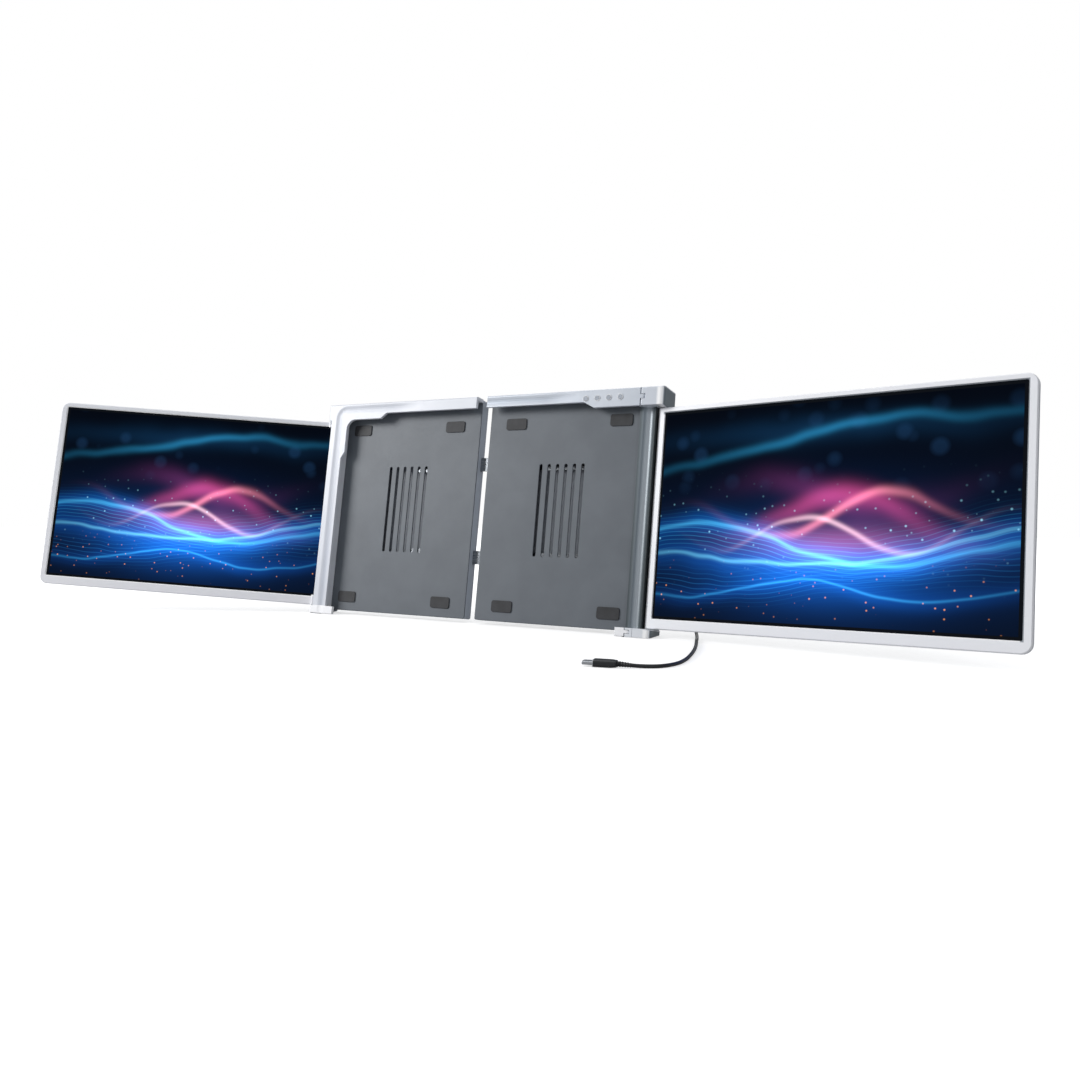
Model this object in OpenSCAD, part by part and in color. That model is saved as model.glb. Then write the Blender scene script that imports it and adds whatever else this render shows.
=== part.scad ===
// Laptop screen extender: two side displays on a sliding frame that clips over a laptop lid.
// Millimetres, +Z up, +Y to the back, floor at Z = 0. The frame leans back like the lid it holds.

/* [Pose] */

// Lean of the frame from upright, in degrees
lean = 8.67;
// [0:0.01:25]

// Turn of the left display towards the viewer, in degrees
left_turn = 27.1;
// [0:0.1:60]

// Turn of the right display towards the viewer, in degrees
right_turn = 9.2;
// [0:0.1:60]

// Height of the stand's pivot up the frame
stand_z = 125;
// [110:1:140]

/* [Frame] */

// Top of the frame above the lid's picture area corner
frame_top = 200.5;
// [195:0.5:210]

// Underside of the bottom arms
arm_bottom = -1.8;
// [-4:0.1:0]

// Top of the bottom arms
arm_top = 5.3;
// [4:0.1:8]

// Thickness of the front lips that hook over the lid
lip = 3;
// [2.5:0.1:4]

// Depth of the slot that takes the laptop lid
slot_depth = 7;
// [5:0.5:9]

// Back face of the frame's rear housing
housing_back = 19;
// [14:0.5:20]

// Wall of the moulded housings
wall = 1.5;
// [1.2:0.1:2.5]

// Play between moving neighbours
play = 0.3;
// [0.2:0.05:0.5]

/* [Displays] */

// Width of the lit picture
picture_w = 261.1;
// [250:0.1:270]

// Height of the lit picture
picture_h = 163.2;
// [150:0.1:170]

// Thickness of a display
display_t = 7.5;
// [7:0.1:9]

// Bottom edge of the displays
display_z0 = 5.8;
// [5.6:0.1:8]

// Top edge of the displays
display_z1 = 184.3;
// [180:0.1:184.5]

// Bezel at the outer side
bezel_outer = 7;
// [5:0.1:9]

// Bezel at the bottom
bezel_bottom = 9.6;
// [8:0.1:12]

// Outer corner radius of a display
corner_r = 7;
// [4:0.5:9]

/* [Buttons] */

// Distance from one button to the next
button_pitch = 10.4;
// [9:0.1:12]

// Radius of a button cap
button_r = 1.8;
// [1.6:0.1:2.4]

// Button travel
button_travel = 0.5;
// [0.3:0.05:0.6]

/* [Cord] */

// Diameter of the cord
cord_d = 2.6;
// [2.2:0.1:4]

/* [Output] */

// Piece to draw, or all
// [all]

/* [Hidden] */
$fn = 28;
eps = 0.01;
gap = 0.1;
face = -lip;
panel_y = slot_depth;
left_end = -3.4;
right_start = 7.5;
right_end = 152.9;
frame_left = -172.4;
sole_gap = 0.5;
floor_y = face;
floor_z = arm_bottom - sole_gap;
lift = floor_y * sin(lean) - floor_z * cos(lean);

// left hinge: axis, and the display's inner edge, picture edge and front plane about it
lx = -170.3;
ly = -1.2;
l_in = -7;
l_pic = -1.2;
l_front = 2.2;
ear_r = 1.8;
l_pins = [[0.4, 13], [180, 194]];
slot_left = -154.2;
slot_right = 151;
// right hinges: first axis at the frame's end, second axis at the display's barrel
sx = 155.3;
sy = -1.2;
lug_r = 1.8;
rx = 170;
ry = 10;
r_in = 0.65;
r_bezel_in = -1.5;
r_pic = 3.9;
r_front = -4.5;
barrel_r = 4.5;
pin_r = 1;
barrel_pin_r = 1.2;
run = 0.05;
spine_back = 20;
cap_back = 24.3;
spine_left = 153.5;
spine_right = 173.5;

// rails between the halves
rail_x0 = -72;
rail_x1 = 118;
rail_y0 = 13.2;
rail_y1 = 15.2;
rail_h = 12;
rail_z = [58, 142];
rail_screw_x = [rail_x0 + 6, rail_x0 + 26, rail_x0 + 46];
rail_screw_len = 5.8;

// screws
screw_r = 0.95;
head_r = 1.9;
head_h = 1.1;

// stand
stand_y = housing_back + 3.6;
stand_foot_r = 3;
stand_len = 124.5;
pivot_h = stand_z * cos(lean) - stand_y * sin(lean) + lift;
stand_swing = acos((pivot_h - stand_foot_r) / stand_len);
stand_open = stand_swing + lean;
stand_x = [18, 98];

// hub on the back
hub = [104, 136, 14, 66];
hub_back = 29;
port_y = 24.2;
port_z = 34;

// knuckles of the first spine hinge, low and high
lug_z = [[0.8, 3.4], [191, 194.4]];

// cord: middle of the cord from the hub's plug to the loose plug, on the floor at z = radius
cord_r = cord_d / 2;
plug_x = 153;
cord_exit = [plug_x, port_y * cos(lean) + port_z * sin(lean), port_z * cos(lean) - port_y * sin(lean) + lift];
tail = [206, -137.6];
tail_z = 2.4;
route = [cord_exit, cord_exit + [10, 0, 0], [172, 30, 30.5], [181, 32.5, 27], [189, 35, 20.5], [195, 35.5, 13.5],
    [199.5, 32.5, 7.5], [203.5, 25, 3.2], [208, 13, 1.5], [213, -3, 1.35], [220, -25, cord_r],
    [226.5, -48, cord_r], [232, -72, cord_r], [235.5, -92, cord_r], [236, -110, cord_r], [231, -125, 1.35],
    [220, -133.5, 1.6], [tail[0], tail[1], tail_z]];
end_turn = 191;

// buttons
button_x = [for (i = [0:3]) 104.2 + i * button_pitch];
button_z = 193;
board_y = -0.9;

// the row's origin: middle of the box round everything but the cord, on the floor
box_x1 = rx + (r_pic + picture_w + bezel_outer) * cos(right_turn) + (display_t + r_front) * sin(right_turn);
box_x0 = lx - (l_pic + picture_w + bezel_outer) * cos(left_turn) - (l_front + display_t) * sin(left_turn);
front_l = ly - (l_pic + picture_w + bezel_outer) * sin(left_turn) + l_front * cos(left_turn);
box_y0 = front_l * cos(lean) + (display_z0 + corner_r) * sin(lean);
box_y1 = stand_y * cos(lean) + stand_z * sin(lean) + stand_len * sin(stand_swing) + stand_foot_r;
origin_x = (box_x0 + box_x1) / 2;
origin_y = (box_y0 + box_y1) / 2;

// ---------- helpers ----------

// frame space (lid plane upright) to the row's own space
module lean_back() {
    translate([-origin_x, -origin_y, lift]) rotate([-lean, 0, 0]) children();
}

module box(x0, x1, y0, y1, z0, z1) {
    translate([x0, y0, z0]) cube([x1 - x0, y1 - y0, z1 - z0]);
}

// rounded rectangle in X and Z, its corners listed from low X low Z, counter-clockwise
module card(x0, x1, z0, z1, ra, rb, rc, rd) {
    polygon(concat(
        arc_pts(x0 + ra, z0 + ra, ra, 180, 270),
        arc_pts(x1 - rb, z0 + rb, rb, 270, 360),
        arc_pts(x1 - rc, z1 - rc, rc, 0, 90),
        arc_pts(x0 + rd, z1 - rd, rd, 90, 180)));
}

function arc_pts(x, z, r, a0, a1, n = 6) =
    [for (i = [0:n]) [x + r * cos(a0 + (a1 - a0) * i / n), z + r * sin(a0 + (a1 - a0) * i / n)]];

// a flat shape in X and Z given thickness from y0 to y1
module thick(y0, y1) {
    translate([0, y1, 0]) rotate([90, 0, 0]) linear_extrude(y1 - y0) children();
}

module plate(x0, x1, y0, y1, z0, z1, r = 1) {
    thick(y0, y1) card(x0, x1, z0, z1, r, r, r, r);
}

// cylinder along Y from y0 to y1
module rod_y(x, z, r, y0, y1, fn = 20) {
    translate([x, y1, z]) rotate([90, 0, 0]) cylinder(r = r, h = y1 - y0, $fn = fn);
}

module rod_x(y, z, r, x0, x1, fn = 24) {
    translate([x0, y, z]) rotate([0, 90, 0]) cylinder(r = r, h = x1 - x0, $fn = fn);
}

module rod_z(x, y, r, z0, z1, fn = 28) {
    translate([x, y, z0]) cylinder(r = r, h = z1 - z0, $fn = fn);
}

// countersunk screw driven from the back, its head flush with y
module screw(x, y, z, len) {
    difference() {
        union() {
            translate([x, y - head_h, z]) rotate([-90, 0, 0])
                cylinder(r1 = screw_r, r2 = head_r, h = head_h, $fn = 20);
            rod_y(x, z, screw_r, y - len, y - head_h + eps, 16);
        }
        box(x - 1.1, x + 1.1, y - 0.5, y + 1, z - 0.2, z + 0.2);
        box(x - 0.2, x + 0.2, y - 0.5, y + 1, z - 1.1, z + 1.1);
    }
}

module screw_hole(x, y, z, len) {
    translate([x, y - head_h, z]) rotate([-90, 0, 0])
        cylinder(r1 = screw_r + run, r2 = head_r + run, h = head_h + eps, $fn = 20);
    rod_y(x, z, screw_r + run, y - len - 0.3, y - head_h + eps, 16);
}

// ---------- frame halves ----------

// soft valley pressed into the front faces: its section, across and deep, and its path as
// [x, z, angle of the across direction, share of the full depth]
valley = [[-4.2, -0.5], [-4.2, -0.03], [-2.9, 0.2], [-1.45, 0.44], [0, 0.52], [1.45, 0.44], [2.9, 0.2],
    [4.2, -0.03], [4.2, -0.5]];
valley_x = -158.8;
valley_z = 194.5;
valley_turn = 8;
valley_left = concat([[valley_x, arm_bottom - 3, 180, 1]],
    [for (a = [180:-15:90]) [valley_x + valley_turn * (1 + cos(a)), valley_z - valley_turn * (1 - sin(a)), a, 1]],
    [[-95, valley_z, 90, 1], [-85, valley_z, 90, 0.8], [-75, valley_z, 90, 0.4], [-65, valley_z, 90, 0.05]]);
valley_right = [[right_start - 1, valley_z, 90, 1], [68, valley_z, 90, 1], [78, valley_z, 90, 0.8],
    [88, valley_z, 90, 0.4], [98, valley_z, 90, 0.05]];

module pressed(path) {
    n = len(valley);
    polyhedron(points = [for (r = path, p = valley)
        [r[0] + cos(r[2]) * p[0], face + (p[1] < 0 ? p[1] : p[1] * r[3]), r[1] + sin(r[2]) * p[0]]],
        faces = swept(len(path), n), convexity = 4);
}

// faces of a closed sweep: rings of n points, one after the other
function swept(rings, n) = concat(
    [[for (k = [0:n - 1]) k]],
    [for (i = [0:rings - 2], k = [0:n - 1]) each [
        [i * n + k, (i + 1) * n + k, (i + 1) * n + (k + 1) % n],
        [i * n + k, (i + 1) * n + (k + 1) % n, i * n + (k + 1) % n]]],
    [[for (k = [n - 1:-1:0]) (rings - 1) * n + k]]);

// outer body of a frame half before it is hollowed: top edge rounded along X
module bar_stock(x0, x1, y1) {
    r = 1.6;
    translate([x0, 0, 0]) rotate([90, 0, 90]) linear_extrude(x1 - x0)
        polygon(concat(
            [[y1, arm_bottom], [y1, frame_top]],
            arc_pts(face + r, frame_top - r, r, 90, 180),
            arc_pts(face + 0.6, arm_bottom + 0.6, 0.6, 180, 270, 3)));
}

// plan outline of the left half, its outer front edge rounded
module left_plan(y1) {
    r = 1.6;
    translate([0, 0, arm_bottom - 1]) linear_extrude(frame_top - arm_bottom + 2)
        polygon(concat(
            [[left_end, face], [left_end, y1], [frame_left, y1]],
            arc_pts(frame_left + r, face + r, r, 180, 270)));
}

// window that leaves the lid's face free, its edge chamfered
module left_window() {
    thick(face - 1, slot_depth) polygon(concat(
        [[left_end + 1, arm_bottom - 2], [left_end + 1, 190], [-102.9, 190], [-109.5, 185]],
        arc_pts(-148.9 + 9, 185 - 9, 9, 90, 180),
        [[-148.9, 153.5], [-152.8, 147.7], [-152.8, arm_top], [-144.4, arm_top], [-144.4, arm_bottom - 2]]));
}

module left_front() {
    color("#E4E6EE") difference() {
        intersection() {
            bar_stock(frame_left, left_end, 8);
            left_plan(8);
        }
        left_window();
        // slot for the lid
        box(slot_left, left_end + 1, 0, 9, arm_bottom - 2, frame_top - 3);
        // room for the display's inner edge to swing
        box(frame_left - 1, -168.3, face - 1, 9, arm_top, 184.9);
        box(frame_left - 1, -157.5, 0, 9, arm_top, 184.9);
        thick(face - 1, 9) polygon([[-173, 184.8], [-171.4, 184.8], [-171.4, 186.4], [-173, 188]]);
        pressed(valley_left);
        for (z = l_pins) rod_z(lx, ly, pin_r, z[0], z[1]);
        sole_cut();
    }
}

// the arms' undersides lie parallel to the floor
module sole_cut() {
    translate([0, floor_y, floor_z + sole_gap]) rotate([lean, 0, 0])
        translate([-300, -20, -20]) cube([600, 80, 20]);
}

module half_shell(x0, x1, vent_x, vents) {
    difference() {
        hull() {
            plate(x0, x1, 8, housing_back - 1.2, 3, frame_top, 2);
            plate(x0 + 1.2, x1 - 1.2, 8, housing_back, 4.2, frame_top - 1.2, 2);
        }
        plate(x0 + wall, x1 - wall, 8.2, housing_back - wall, 3 + wall, frame_top - wall, 1);
        box(x0 + wall, x1 - wall, 7, 8.3, 3 + wall, frame_top - wall);
        for (i = [0:vents - 1]) plate(vent_x + i * 5, vent_x + i * 5 + 2,
            housing_back - wall - 0.5, housing_back + 1, 84, 116, 0.9);
    }
}

module shell_bosses(xs, zs) {
    for (x = xs, z = zs) difference() {
        rod_y(x, z, 3, 8.3, housing_back - wall + eps, 20);
        screw_hole(x, housing_back, z, 7);
    }
}

module left_housing() {
    color("#B9BEC8") difference() {
        union() {
            half_shell(-157.5, left_end, -52, 8);
            // top corner block behind the hinge, and the arm that carries the lower pin
            box(frame_left, -156, 8, housing_back, 185.2, frame_top);
            box(frame_left, -156, 8, housing_back, arm_bottom, arm_top);
            shell_bosses([-148, -14], [14, 100, 188]);
            for (z = rail_z, x = rail_screw_x) rod_y(x, z, 3, rail_y1 + run, housing_back - wall + eps, 20);
        }
        for (x = [-148, -14], z = [14, 100, 188]) screw_hole(x, housing_back, z, 7);
        for (z = rail_z, x = rail_screw_x) screw_hole(x, housing_back, z, rail_screw_len);
        for (z = rail_z) box(-20, left_end + 1, rail_y0 - 0.2, rail_y1 + 0.2, z - rail_h / 2 - 0.2, z + rail_h / 2 + 0.2);
        sole_cut();
    }
}

module left_inner_panel() {
    color("#5A6068") difference() {
        plate(slot_left + gap, left_end, panel_y, 8, 3.2, frame_top - 3.1, 1.5);
        for (i = [0:5]) plate(-100 + i * 8, -97 + i * 8, 6, 9, 60, 140, 1.4);
    }
}

module left_lid_pads() {
    color("#2E3034") for (z = [16, 176]) plate(-146, -126, panel_y - 0.8, panel_y, z - 5, z + 5, 2);
    color("#2E3034") for (z = [16, 176]) plate(-40, -20, panel_y - 0.8, panel_y, z - 5, z + 5, 2);
}

// strip of rubber under an arm, from the sole to the floor
module foot_pad(x0, x1) {
    translate([0, floor_y, floor_z]) rotate([lean, 0, 0]) box(x0, x1, 1.2, 17.5, 0, sole_gap * cos(lean) - eps);
}

module left_foot_pad() {
    color("#2A2B2E") foot_pad(-171, -158.5);
}

module steel_rails() {
    color("#A9ADB3") for (z = rail_z) difference() {
        plate(rail_x0, rail_x1, rail_y0, rail_y1, z - rail_h / 2, z + rail_h / 2, 1.5);
        plate(rail_x0 + 88, rail_x1 - 8, rail_y0 - 1, rail_y0 + 0.5, z - 1.5, z + 1.5, 1.4);
        for (x = rail_screw_x) rod_y(x, z, screw_r + run, rail_y0 - 1, rail_y1 + 1, 16);
    }
}

// screws that hold the rails to the left housing's rear wall
module rail_screws() {
    color("#6E7278") for (z = rail_z, x = rail_screw_x)
        screw(x, housing_back, z, rail_screw_len);
}

module left_housing_screws() {
    color("#6E7278") for (x = [-148, -14], z = [14, 100, 188]) screw(x, housing_back, z, 7);
}

module left_hinge_pins() {
    color("#8C9096") for (z = l_pins) rod_z(lx, ly, pin_r, z[0], z[1]);
}

module right_window() {
    thick(face - 1, 5.5) polygon([[right_start - 1, 190], [right_start - 1, arm_bottom - 2],
        [145, arm_bottom - 2], [145, arm_top], [right_end + 1, arm_top], [right_end + 1, 185],
        [112, 185], [102.5, 190]]);
}

module right_front() {
    color("#C6CBD4") difference() {
        union() {
            difference() {
                bar_stock(right_start, right_end, 8);
                right_window();
                box(right_start - 1, slot_right, 0, 9, arm_bottom - 2, frame_top - 3);
                box(slot_right - 1, right_end + 1, -1, 6.2, arm_top, 185.4);
            }
            // knuckles that carry the spine's pins
            for (z = lug_z) {
                rod_z(sx, sy, lug_r, z[0], z[1]);
                box(right_end - 1, sx, sy - lug_r, sy + lug_r, z[0], z[1]);
            }
        }
        for (z = lug_z) rod_z(sx, sy, pin_r + run, z[0] - 1, z[1] + 1);
        // pocket for the control board, and the holes for the caps
        plate(button_x[0] - 5.4, button_x[3] + 5.4, face + 0.7, 1, button_z - 2.6, button_z + 3.4, 1);
        for (x = button_x) rod_y(x, button_z, button_r + 0.15, face - 1, 0, 24);
        pressed(valley_right);
        sole_cut();
    }
}

module right_housing() {
    color("#AEB4BE") difference() {
        union() {
            half_shell(right_start, right_end, 106, 6);
            shell_bosses([18, 143], [14, 100, 188]);
            box(slot_right, right_end, 8, housing_back, arm_bottom, arm_top);
        }
        for (x = [18, 143], z = [14, 100, 188]) screw_hole(x, housing_back, z, 7);
        for (z = rail_z) box(right_start - 1, right_start + 3, rail_y0 - 0.2, rail_y1 + 0.2,
            z - rail_h / 2 - 0.2, z + rail_h / 2 + 0.2);
        // cable way into the hub
        rod_y(118, 40, 4, housing_back - 3, housing_back + 1, 20);
        sole_cut();
    }
}

module right_inner_panel() {
    color("#5A6068") difference() {
        plate(right_start, slot_right - gap, panel_y, 8, 3.2, frame_top - 3.1, 1.5);
        for (i = [0:5]) plate(60 + i * 8, 63 + i * 8, 6, 9, 60, 140, 1.4);
    }
}

module right_lid_pads() {
    color("#2E3034") for (x = [24, 124], z = [16, 176])
        plate(x, x + 20, panel_y - 0.8, panel_y, z - 5, z + 5, 2);
}

module right_foot_pad() {
    color("#2A2B2E") foot_pad(151.2, right_end - 0.2);
}

// blocks inside the right housing that the rails run through
module rail_guides() {
    color("#33363B") for (z = rail_z, x = [12, 42]) difference() {
        plate(x, x + 12, 8.6, housing_back - wall, z - 10, z + 10, 1);
        box(x - 1, x + 13, rail_y0 - 0.15, rail_y1 + 0.15, z - rail_h / 2 - 0.15, z + rail_h / 2 + 0.15);
        box(x + 4, x + 8, 8, 9.4, z - 11, z + 11);
    }
}

module control_board() {
    color("#1E5A3C") plate(button_x[0] - 5.2, button_x[3] + 5.2, board_y, 0, button_z - 2.4, button_z + 3.2, 0.8);
    color("#B9BCC0") for (x = button_x) rod_y(x, button_z, 1.7, board_y - 0.4, board_y, 20);
}

// raised rings round the buttons
module button_rings() {
    color("#DDE0E6") for (x = button_x) difference() {
        rod_y(x, button_z, 2.55, face - 0.5, face, 28);
        rod_y(x, button_z, button_r + 0.15, face - 1, face + 1, 24);
        translate([x, face - 0.2, button_z]) rotate([90, 0, 0])
            cylinder(r1 = button_r + 0.15, r2 = button_r + 0.5, h = 0.4, $fn = 24);
    }
}

module button(i) {
    x = button_x[i];
    color("#8F959F") difference() {
        union() {
            rod_y(x, button_z, button_r, face - 0.6, face + 0.9, 24);
            rod_y(x, button_z, button_r + 0.5, face + 0.75, face + 1.1, 24);
        }
        // plain marks: a bar, a cross, a ring, a dot
        if (i < 2) box(x - 0.9, x + 0.9, face - 1, face - 0.45, button_z - 0.15, button_z + 0.15);
        if (i == 1) box(x - 0.15, x + 0.15, face - 1, face - 0.45, button_z - 0.9, button_z + 0.9);
        if (i == 2) difference() {
            rod_y(x, button_z, 0.95, face - 1, face - 0.45, 20);
            rod_y(x, button_z, 0.6, face - 2, face, 16);
        }
        if (i == 3) rod_y(x, button_z, 0.45, face - 1, face - 0.45, 16);
    }
}

module button_1() { button(0); }
module button_2() { button(1); }
module button_3() { button(2); }
module button_4() { button(3); }

module right_housing_screws() {
    color("#6E7278") for (x = [18, 143], z = [14, 100, 188]) screw(x, housing_back, z, 7);
}

// ---------- hub on the back ----------

module hub_case() {
    color("#9CA2AC") difference() {
        hull() {
            plate(hub[0], hub[1], housing_back, hub_back - 1.5, hub[2], hub[3], 3);
            plate(hub[0] + 1.5, hub[1] - 1.5, housing_back, hub_back, hub[2] + 1.5, hub[3] - 1.5, 3);
        }
        plate(hub[0] + wall, hub[1] - wall, housing_back - 1, hub_back - wall, hub[2] + wall, hub[3] - wall, 2);
        translate([hub[1] - 3, port_y, port_z]) port_shape(9.3, 3.6, 5);
        for (i = [0:6]) box(hub[0] + 6, hub[1] - 6, hub_back - 2, hub_back + 1, 44 + i * 2.6, 45.2 + i * 2.6);
    }
}

// stadium with its long side up, given length along X
module port_shape(h, w, len) {
    hull() for (s = [-1, 1]) translate([0, 0, s * (h - w) / 2]) rotate([0, 90, 0])
        cylinder(r = w / 2, h = len, $fn = 20);
}

module hub_board() {
    color("#1E5A3C") plate(hub[0] + 3, hub[1] - 2, 20.6, 21.8, hub[2] + 3, hub[3] - 3, 1);
    color("#202226") box(112, 120, 21.8, 23, 44, 52);
    color("#202226") box(123, 129, 21.8, 22.8, 54, 60);
    color("#C9B07A") box(108, 114, 21.8, 25, 20, 30);
    // standoffs to the housing
    for (z = [20, 60]) color("#8C9096") rod_y(110, z, 2, housing_back, 20.6, 16);
}

module usb_port() {
    color("#C7CACE") difference() {
        translate([128, port_y, port_z]) port_shape(9.2, 3.5, 8);
        translate([129, port_y, port_z]) port_shape(8.5, 2.8, 8);
    }
    color("#26282C") box(128.5, 134.5, port_y - 0.35, port_y + 0.35, port_z - 3.3, port_z + 3.3);
}

// ---------- stand ----------

module stand_bracket() {
    color("#8A9099") difference() {
        union() {
            plate(16, 100, housing_back, housing_back + 1.2, 112, 135, 3);
            for (x = [16, 97]) hull() {
                rod_x(stand_y, stand_z, 3.2, x, x + 3);
                box(x, x + 3, housing_back + 1, housing_back + 1.2, stand_z - 8, stand_z + 8);
            }
        }
        rod_x(stand_y, stand_z, 1.5, 15, 101);
        for (x = [26, 90]) rod_y(x, 116, 1.2, housing_back - 1, housing_back + 2, 16);
    }
}

module stand_pin() {
    color("#8C9096") rod_x(stand_y, stand_z, 1.5, 15.4, 100.6);
    color("#8C9096") for (x = [14.6, 100.6]) rod_x(stand_y, stand_z, 2.3, x, x + 0.8);
}

module at_stand() {
    lean_back() translate([0, stand_y, stand_z]) rotate([stand_open, 0, 0]) children();
}

module stand_leg() {
    color("#B4B9C2") difference() {
        union() {
            rod_x(0, 0, 2.2, 19 + play, 97 - play);
            thick(-1.1, 1.1) polygon(concat([[22, 0]],
                arc_pts(26 + 4, 6 - stand_len, 4, 180, 270), arc_pts(90 - 4, 6 - stand_len, 4, 270, 360), [[94, 0]]));
            rod_x(0, -stand_len, 1.6, 24, 92);
            box(26, 90, -1.1, 1.1, -stand_len, 3 - stand_len);
        }
        rod_x(0, 0, 1.5 + run, 18, 98);
        thick(-2, 2) card(36, 80, -96, -22, 8, 8, 8, 8);
    }
}

module stand_foot() {
    color("#2A2B2E") difference() {
        rod_x(0, -stand_len, stand_foot_r, 27, 89);
        rod_x(0, -stand_len, 1.6 + run, 26, 90);
        box(26, 90, -1.1 - run, 1.1 + run, -stand_len, 4 - stand_len);
    }
}

// ---------- spine: the link with two hinge axes ----------

spine_screw_z = [20, 70, 120, 170];

module spine_plan(z0, z1, x1, yb) {
    r = 3.5;
    seam_cut = 0.6;
    translate([0, 0, z0]) linear_extrude(z1 - z0) polygon(concat(
        [[spine_left, face + seam_cut], [spine_left + seam_cut, face]],
        arc_pts(x1 - r, face + r, r, 270, 360),
        arc_pts(x1 - 2, yb - 2, 2, 0, 90),
        [[spine_left, yb]]));
}

module lug_notch(z) {
    box(sx - 2.5, sx + lug_r + play, face - 1, sy + lug_r + play, z[0] - play, z[1] + play);
}

module spine_cap() {
    color("#AEB4BC") difference() {
        intersection() {
            spine_plan(185.2, frame_top, spine_right, cap_back);
            bar_stock(spine_left - 1, spine_right + 1, cap_back + 1);
        }
        lug_notch(lug_z[1]);
        rod_z(sx, sy, pin_r, 187, 198);
        rod_z(rx, ry, barrel_pin_r, 184, 194);
    }
}

module spine_foot() {
    color("#C6CBD4") difference() {
        spine_plan(arm_bottom, arm_top, 175, spine_back);
        lug_notch(lug_z[0]);
        rod_z(sx, sy, pin_r, -1, arm_top + 1);
        rod_z(rx, ry, barrel_pin_r, 1.4, arm_top + 1);
        // joint line across the arm
        box(159.8, 160.2, face - 1, face + 0.4, -3, arm_top + 1);
        sole_cut();
    }
}

// extrusion with a hollowed front and a wire way inside
module spine_column() {
    color("#7F868E") difference() {
        translate([0, 0, arm_top]) linear_extrude(185.2 - arm_top) difference() {
            polygon(concat(
                [[154, 15], [154, 5.1], [151.4, 5.1], [151.4, 3.9], [154.2, 3.9]],
                [for (i = [0:12]) [155 + i * 9 / 12, 4 + 2.4 * sin(180 * i / 12)]],
                [[164.9, 4], [164.9, 15]]));
            translate([156.2, 9]) square([6.6, 4.4]);
        }
        for (z = spine_screw_z) screw_hole(159.5, spine_back, z, 6.5);
    }
}

module spine_guard() {
    color("#9CA2AC") difference() {
        hull() {
            box(154, 174.3, 15, 18.5, arm_top, 185.2);
            box(155.5, 172.8, 15, spine_back, arm_top, 185.2);
        }
        box(166, 173, 14, 18.5, arm_top + 4, 181);
        for (z = spine_screw_z) screw_hole(159.5, spine_back, z, 6.5);
    }
}

module spine_screws() {
    color("#6E7278") for (z = spine_screw_z) screw(159.5, spine_back, z, 6.5);
}

module spine_pins() {
    color("#8C9096") rod_z(sx, sy, pin_r, -0.9, arm_top);
    color("#8C9096") rod_z(sx, sy, pin_r, 187, 198);
}

module barrel_pins() {
    color("#8C9096") rod_z(rx, ry, barrel_pin_r, 1.4, 16);
    color("#8C9096") rod_z(rx, ry, barrel_pin_r, 174, 194);
}

// ---------- displays, drawn about their hinge axis; side is 1 right, -1 left ----------

module at_right() {
    lean_back() translate([rx, ry, 0]) rotate(-right_turn) children();
}

module at_left() {
    lean_back() translate([lx, ly, 0]) rotate(left_turn) children();
}

// plate from a to b away from the axis, ri at the inner corners and ro at the outer
module dplate(side, a, b, y0, y1, z0, z1, ri, ro) {
    if (side > 0) thick(y0, y1) card(a, b, z0, z1, ri, ro, ro, ri);
    else thick(y0, y1) card(-b, -a, z0, z1, ro, ri, ri, ro);
}

module dbox(side, a, b, y0, y1, z0, z1) {
    if (side > 0) box(a, b, y0, y1, z0, z1);
    else box(-b, -a, y0, y1, z0, z1);
}

function out_edge(pic) = pic + picture_w + bezel_outer;
pic_z = display_z0 + bezel_bottom;
bezel_t = 3.2;
glass_y = 0.8;
function window_in(side) = side > 0 ? 1.4 : 2.4;
cover_screw_z = 9.2;

module bezel(side, a, pic, yf) {
    b = out_edge(pic);
    difference() {
        hull() {
            dplate(side, a, b, yf + 0.7, yf + bezel_t, display_z0, display_z1, 1, corner_r);
            dplate(side, a + 0.3, b - 0.7, yf, yf + 1, display_z0 + 0.7, display_z1 - 0.7, 1, corner_r - 0.7);
        }
        // window, its edge sloping out from the glass
        hull() {
            dplate(side, pic, pic + picture_w, yf + 1, yf + 2, pic_z, pic_z + picture_h, 0.6, 0.6);
            dplate(side, pic - window_in(side), pic + picture_w + 2.4, yf - 0.4, yf - 0.2,
                pic_z - 2.4, pic_z + picture_h + 2.4, 1.2, 1.2);
        }
        dplate(side, pic - 1.2, pic + picture_w + 3, yf + glass_y, yf + 4, pic_z - 3, pic_z + picture_h + 2.5, 0.5, 0.5);
    }
}

module glass(side, pic, yf) {
    dplate(side, pic - 1.1, pic + picture_w + 2.9, yf + glass_y + 0.05, yf + 2.4,
        pic_z - 2.9, pic_z + picture_h + 2.4, 0.4, 0.4);
}

module backlight(side, pic, yf) {
    difference() {
        dplate(side, pic - 1.1, pic + picture_w + 2.9, yf + 2.5, yf + 4.6,
            pic_z - 2.9, pic_z + picture_h + 2.4, 0.4, 3.2);
        for (i = [0:3]) dplate(side, pic + 12 + i * 62, pic + 62 + i * 62, yf + 4.2, yf + 5,
            pic_z + 12, pic_z + 150, 3, 3);
    }
}

module driver_board(side, yf) {
    color("#1E5A3C") dplate(side, 70, 190, yf + 4.7, yf + 5.5, 22, 48, 1, 1);
    color("#202226") dbox(side, 96, 108, yf + 5.5, yf + 6.2, 28, 40);
    color("#202226") dbox(side, 140, 148, yf + 5.5, yf + 6.2, 30, 38);
    color("#D8D3C4") dbox(side, 118, 134, yf + 5.5, yf + 6.2, 42, 46);
    color("#C9B07A") for (i = [0:4]) dbox(side, 154 + i * 6, 157 + i * 6, yf + 5.5, yf + 6, 26, 28);
}

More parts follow.
